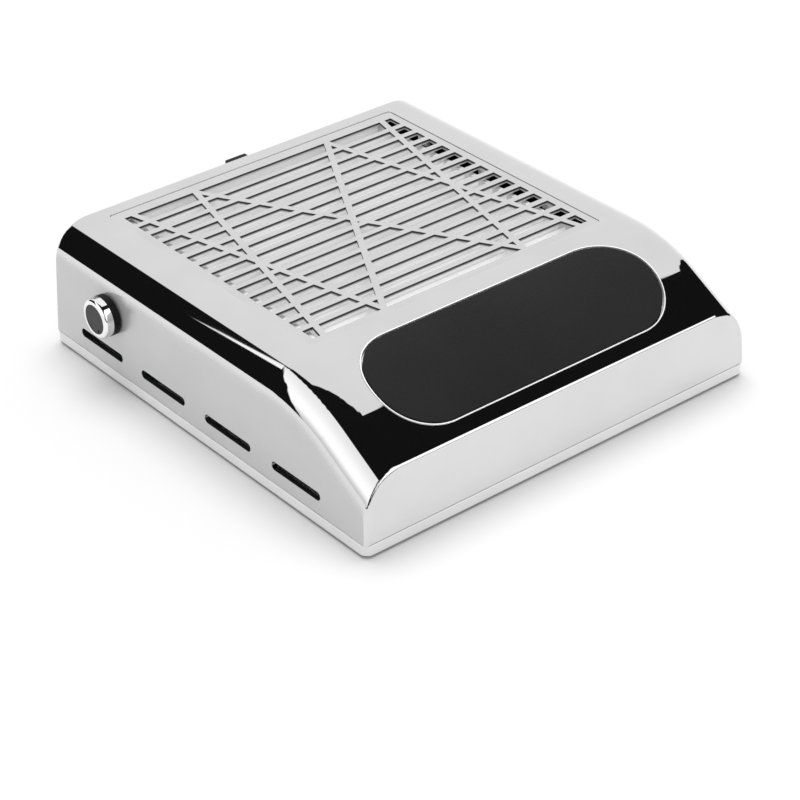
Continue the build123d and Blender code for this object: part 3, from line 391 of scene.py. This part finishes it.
def swell(piece, hold, pressure, cap):
    """Inflates a closed mesh with the cloth solver; no point may move further than cap."""
    group = piece.vertex_groups.new(name="hold")
    group.add(hold, 1.0, "REPLACE")
    cloth = piece.modifiers.new("swell", "CLOTH")
    cloth.settings.use_pressure = True
    cloth.settings.uniform_pressure_force = pressure
    cloth.settings.vertex_group_mass = "hold"
    cloth.settings.mass = 0.05
    cloth.settings.tension_stiffness = 12
    cloth.settings.bending_stiffness = 2
    cloth.settings.effector_weights.gravity = 0
    scene = bpy.context.scene
    for frame_number in range(1, 21):
        scene.frame_set(frame_number)
    solved = piece.evaluated_get(bpy.context.evaluated_depsgraph_get()).data
    moved = [vertex.co.copy() for vertex in solved.vertices]
    piece.modifiers.remove(cloth)
    for vertex, target in zip(piece.data.vertices, moved):
        shift = target - vertex.co
        if shift.length > 1e-9:
            shift *= cap * math.tanh(shift.length / cap) / shift.length
        vertex.co += shift
    scene.frame_set(1)
    piece.vertex_groups.remove(group)


def make_pad():
    """A soft cover over foam that lies in the trim ring on the front slope."""
    cad_mesh = nodes["wrist_pad"].data
    corners = [vertex.co for vertex in cad_mesh.vertices]
    reach = [corner.dot(pad_along) for corner in corners]
    half_w = max(corner.x for corner in corners) - pad_clear
    half_d = (max(reach) - min(reach)) / 2 - pad_clear
    middle = (max(reach) + min(reach)) / 2
    skin = BVHTree.FromPolygons(corners, [face.vertices for face in cad_mesh.polygons])
    flat, triangles, rim_count = pad_layout(half_w, half_d)

    def on_skin(point):
        # The height of the slope's curve above the pad's own plane, read from the CAD pad
        near = point * 0.992
        start = Vector((near.x, 0, 0)) + pad_along * (middle + near.y) + pad_up * 0.2
        hit = skin.ray_cast(start, -pad_up)[0]
        return Vector((point.x, 0, 0)) + pad_along * (middle + point.y) + pad_up * hit.dot(pad_up)

    tops = [on_skin(point) - pad_up * pad_edge_drop for point in flat]
    lows = [top - pad_up * pad_depth for top in tops]
    count = len(tops)
    faces = [tuple(face) for face in triangles]
    faces += [tuple(count + corner for corner in reversed(face)) for face in triangles]
    for index in range(rim_count):
        after = (index + 1) % rim_count
        faces.append((index, index + count, after + count, after))
    mesh = bpy.data.meshes.new("wrist_pad_cover")
    mesh.from_pydata(tops + lows, [], faces)
    tidy = bmesh.new()
    tidy.from_mesh(mesh)
    bmesh.ops.recalc_face_normals(tidy, faces=tidy.faces)
    tidy.to_mesh(mesh)
    tidy.free()
    mesh.polygons.foreach_set("use_smooth", [True] * len(mesh.polygons))
    piece = bpy.data.objects.new("wrist_pad_cover", mesh)
    bpy.context.scene.collection.objects.link(piece)
    hold = list(range(rim_count)) + list(range(count, 2 * count))
    swell(piece, hold, 4.0, pad_crown)
    soften = piece.modifiers.new("soften", "SUBSURF")
    soften.levels = 1
    soften.render_levels = 1
    mesh.materials.append(materials["pad_cover"])
    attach(piece, "root")
    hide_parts("wrist_pad")


make_pad()

# --- Studio -----------------------------------------------------------------------------------

floor_size = 30.0
floor_white = grey(0.575)
painted_reflection_dark = grey(0.02)
dark_reflection_reach = 0.19

floor_mesh = bpy.data.meshes.new("floor")
floor = bpy.data.objects.new("floor", floor_mesh)
corners = [(-1, -1), (1, -1), (1, 1), (-1, 1)]
floor_mesh.from_pydata([(x * floor_size, y * floor_size, 0.0) for x, y in corners], [], [(0, 1, 2, 3)])
bpy.context.scene.collection.objects.link(floor)
floor_material = bpy.data.materials.new("floor")
floor_shader = Shader(floor_material)
# Only in the mirror-like plating is the floor dark from a little way in front of the case on: a painted
# dark reflection, while the camera and matt surfaces see the floor white
dark_reflection_front = case_low.y - dark_reflection_reach
front_way = floor_shader.dot(floor_shader.place(), (0, -1, 0))
mirrored = floor_shader.node("ShaderNodeLightPath").outputs["Is Glossy Ray"]
past_dark_reflection_line = floor_shader.ramp(front_way, -dark_reflection_front, 0.04 - dark_reflection_front)
painted_dark_reflection = floor_shader.math("MULTIPLY", mirrored, past_dark_reflection_line)
floor_tone = floor_shader.mix(painted_dark_reflection, floor_white, painted_reflection_dark)
floor_bsdf = floor_shader.node("ShaderNodeBsdfDiffuse", {"Color": floor_tone})
floor_shader.node("ShaderNodeOutputMaterial", {"Surface": floor_bsdf.outputs["BSDF"]})
floor_mesh.materials.append(floor_material)


def studio_world():
    """Large soft boxes in a dark studio, each cut out of the sky by planes.

    The plating mirrors them; matt surfaces get an even sky, and the camera sees white.
    """
    world = bpy.data.worlds.new("studio")
    shader = Shader(world)
    sky = shader.node("ShaderNodeTexCoord").outputs["Generated"]

    def side(normal, softness=0.012, offset=0.0):
        """The part of the sky further along a normal than an offset, with a soft edge."""
        length = Vector(normal).length
        unit = tuple(component / length for component in normal)
        return shader.ramp(shader.dot(sky, unit), offset - softness, offset + softness)

    def inside(*sides):
        """The part of the sky that all these sides share."""
        value = sides[0]
        for other in sides[1:]:
            value = shader.math("MULTIPLY", value, other)
        return value

    # Behind the machine: fills the top and the slope above the pad
    back = inside(
        side((1, 0, 0.22)),
        side((0.70, 1, -0.256)),
        side((0, 1, 0.1098), 0.006),
        side((-0.291, 0.886, 0.362), 0.006),
        side((-0.338, 0.849, 0.407), 0.006),
    )
    # Narrow, behind at the left: a thin line in the black of the left shoulder
    strip = inside(
        side((1, 5.1, 0), 0.001, 0.6140),
        side((-1, -10, 0), 0.001, -0.6680),
        side((0, 1, 0), 0.002, 0.684),
        side((0, 0, 1)),
    )
    # At the user's left: the bright facet where the left shoulder comes down the slope
    left_top = side((-1.78, 0.52, -1))
    left_low = side((-0.60, -1, 0.38))
    left_high = side((-0.218, -1, 0.90))
    left_front = side((-1, 1.4, 0))
    left = inside(left_top, shader.math("MAXIMUM", left_low, left_high), left_front)
    # In front and low: the bright line along the front edge
    front = inside(
        side((-0.568, -0.4486, 0.245), 0.02),
        side((1, -0.1, 0)),
        side((0.6, -1.2, -0.98)),
    )
    # Low behind the user: the top mirrors it towards someone behind the machine
    low_front = inside(
        side((0, -1, 0), 0.02, 0.5),
        side((-1, 0, 0), 0.02, -0.38),
        side((1, 0, 0), 0.02, -0.48),
        side((0, 0, 1), 0.02, 0.06),
        side((0, 0, -1), 0.02, -0.64),
    )
    height = shader.dot(sky, (0, 0, 1))
    left_level = shader.ramp(height, 0.0, 0.3, 0.8, 1.45)
    left_level = shader.math("MULTIPLY", left_level, shader.ramp(height, 0.4, 0.85, 1.0, 0.8))
    level = shader.math("MULTIPLY", back, 0.97)
    level = shader.math("MAXIMUM", level, shader.math("MULTIPLY", strip, 1.3))
    level = shader.math("MAXIMUM", level, shader.math("MULTIPLY", low_front, 0.85))
    level = shader.math("MAXIMUM", level, shader.math("MULTIPLY", left, left_level))
    level = shader.math("MAXIMUM", level, shader.math("MULTIPLY", front, 1.6))
    level = shader.math("MAXIMUM", level, 0.008)
    # For matt surfaces, a little brighter from the front right
    soft = shader.ramp(shader.dot(sky, (0.55, -0.60, 0.58)), -1.0, 1.0, 0.65, 0.95)
    path = shader.node("ShaderNodeLightPath").outputs
    level = shader.mix(path["Is Glossy Ray"], soft, level)
    seen = shader.mix(path["Is Camera Ray"], level, grey(1.0))
    background = shader.node("ShaderNodeBackground", {"Color": seen})
    shader.node("ShaderNodeOutputWorld", {"Surface": background.outputs["Background"]})
    bpy.context.scene.world = world


studio_world()

# A broad lamp almost overhead, which the plating does not mirror, lights the filter through the grille
lamp_direction = Vector((0.12, 0.2, 1))
lamp_spread = math.radians(50)

lamp = bpy.data.objects.new("lamp", bpy.data.lights.new("lamp", "SUN"))
lamp.data.energy = 3.0
lamp.data.angle = lamp_spread
lamp.rotation_euler = lamp_direction.to_track_quat("Z", "Y").to_euler()
lamp.visible_glossy = False
bpy.context.scene.collection.objects.link(lamp)
bpy.context.scene.view_settings.view_transform = "Standard"

# --- Camera -----------------------------------------------------------------------------------

camera_azimuth = math.radians(-38.99)
camera_elevation = math.radians(32.5)
camera_roll = math.radians(-1.025)
camera_distance = 1.272
camera_target = case_mid + Vector((-0.0608, -0.0786, -0.0055))
camera = bpy.data.objects.new("camera", bpy.data.cameras.new("camera"))
bpy.context.scene.collection.objects.link(camera)
camera.data.lens = 111.3
camera.data.sensor_width = 36.0
back_dir = Vector(
    (
        math.sin(camera_azimuth) * math.cos(camera_elevation),
        -math.cos(camera_azimuth) * math.cos(camera_elevation),
        math.sin(camera_elevation),
    )
)
camera.location = camera_target + back_dir * camera_distance
aim = (-back_dir).to_track_quat("-Z", "Y").to_matrix().to_4x4()
camera.matrix_world = Matrix.Translation(camera.location) @ aim @ Matrix.Rotation(camera_roll, 4, "Z")
bpy.context.scene.camera = camera
